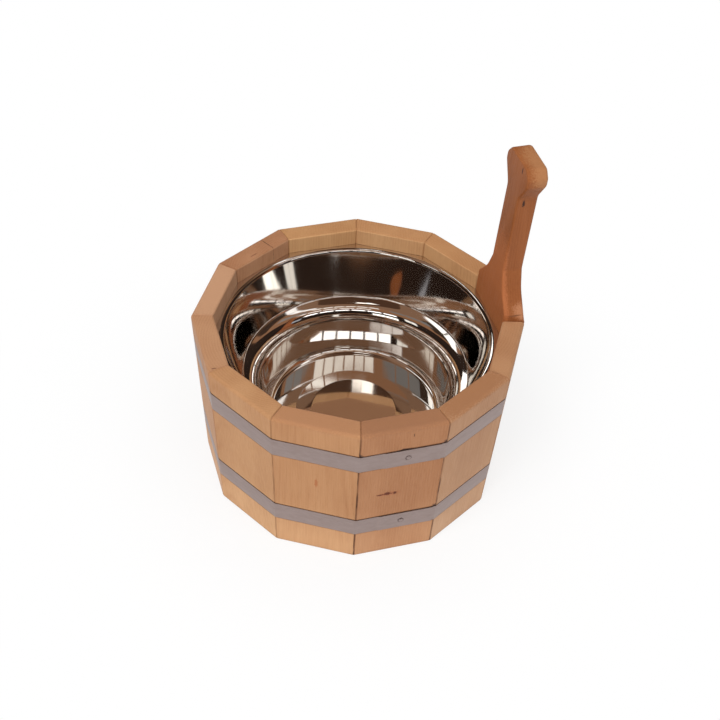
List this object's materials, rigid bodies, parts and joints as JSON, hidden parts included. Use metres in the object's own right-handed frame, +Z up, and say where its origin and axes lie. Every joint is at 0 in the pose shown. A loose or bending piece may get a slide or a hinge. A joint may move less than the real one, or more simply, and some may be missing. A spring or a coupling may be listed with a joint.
{
  "type": "wooden piggin",
  "caption": "Low coopered wooden tub with leaning staves, steel hoops, a polished steel bowl set inside, and one tall stave shaped as an upright handle.",
  "frame": {"origin": "centre of the tub's foot, on the tub's axis in the plane that it stands on", "axes": "+Z up, +X from the tub's axis towards the handle stave"},
  "size_m": [0.3089, 0.299, 0.325],
  "materials": {
    "stave_wood": "sanded pale hardwood, bare",
    "handle_wood": "sanded pale hardwood, bare, slightly redder",
    "bottom_wood": "planed pale hardwood, bare",
    "dowel_wood": "turned dowel rod",
    "bowl_steel": "spun stainless steel, polished",
    "hoop_steel": "matt rolled strip",
    "nail_steel": "dull bright wire nail"
  },
  "bodies": {
    "root": {"handle_stave": "handle_wood", "stave_01": "stave_wood", "stave_02": "stave_wood", "stave_03": "stave_wood", "stave_04": "stave_wood", "stave_05": "stave_wood", "stave_06": "stave_wood", "stave_07": "stave_wood", "stave_08": "stave_wood", "stave_09": "stave_wood", "stave_10": "stave_wood", "stave_11": "stave_wood", "steel_bowl": "bowl_steel", "upper_hoop": "hoop_steel", "lower_hoop": "hoop_steel", "upper_hoop_nail": "nail_steel", "lower_hoop_nail": "nail_steel", "bottom_board_1": "bottom_wood", "bottom_board_2": "bottom_wood", "bottom_board_3": "bottom_wood", "bottom_dowels": "dowel_wood"}
  },
  "joints": []
}
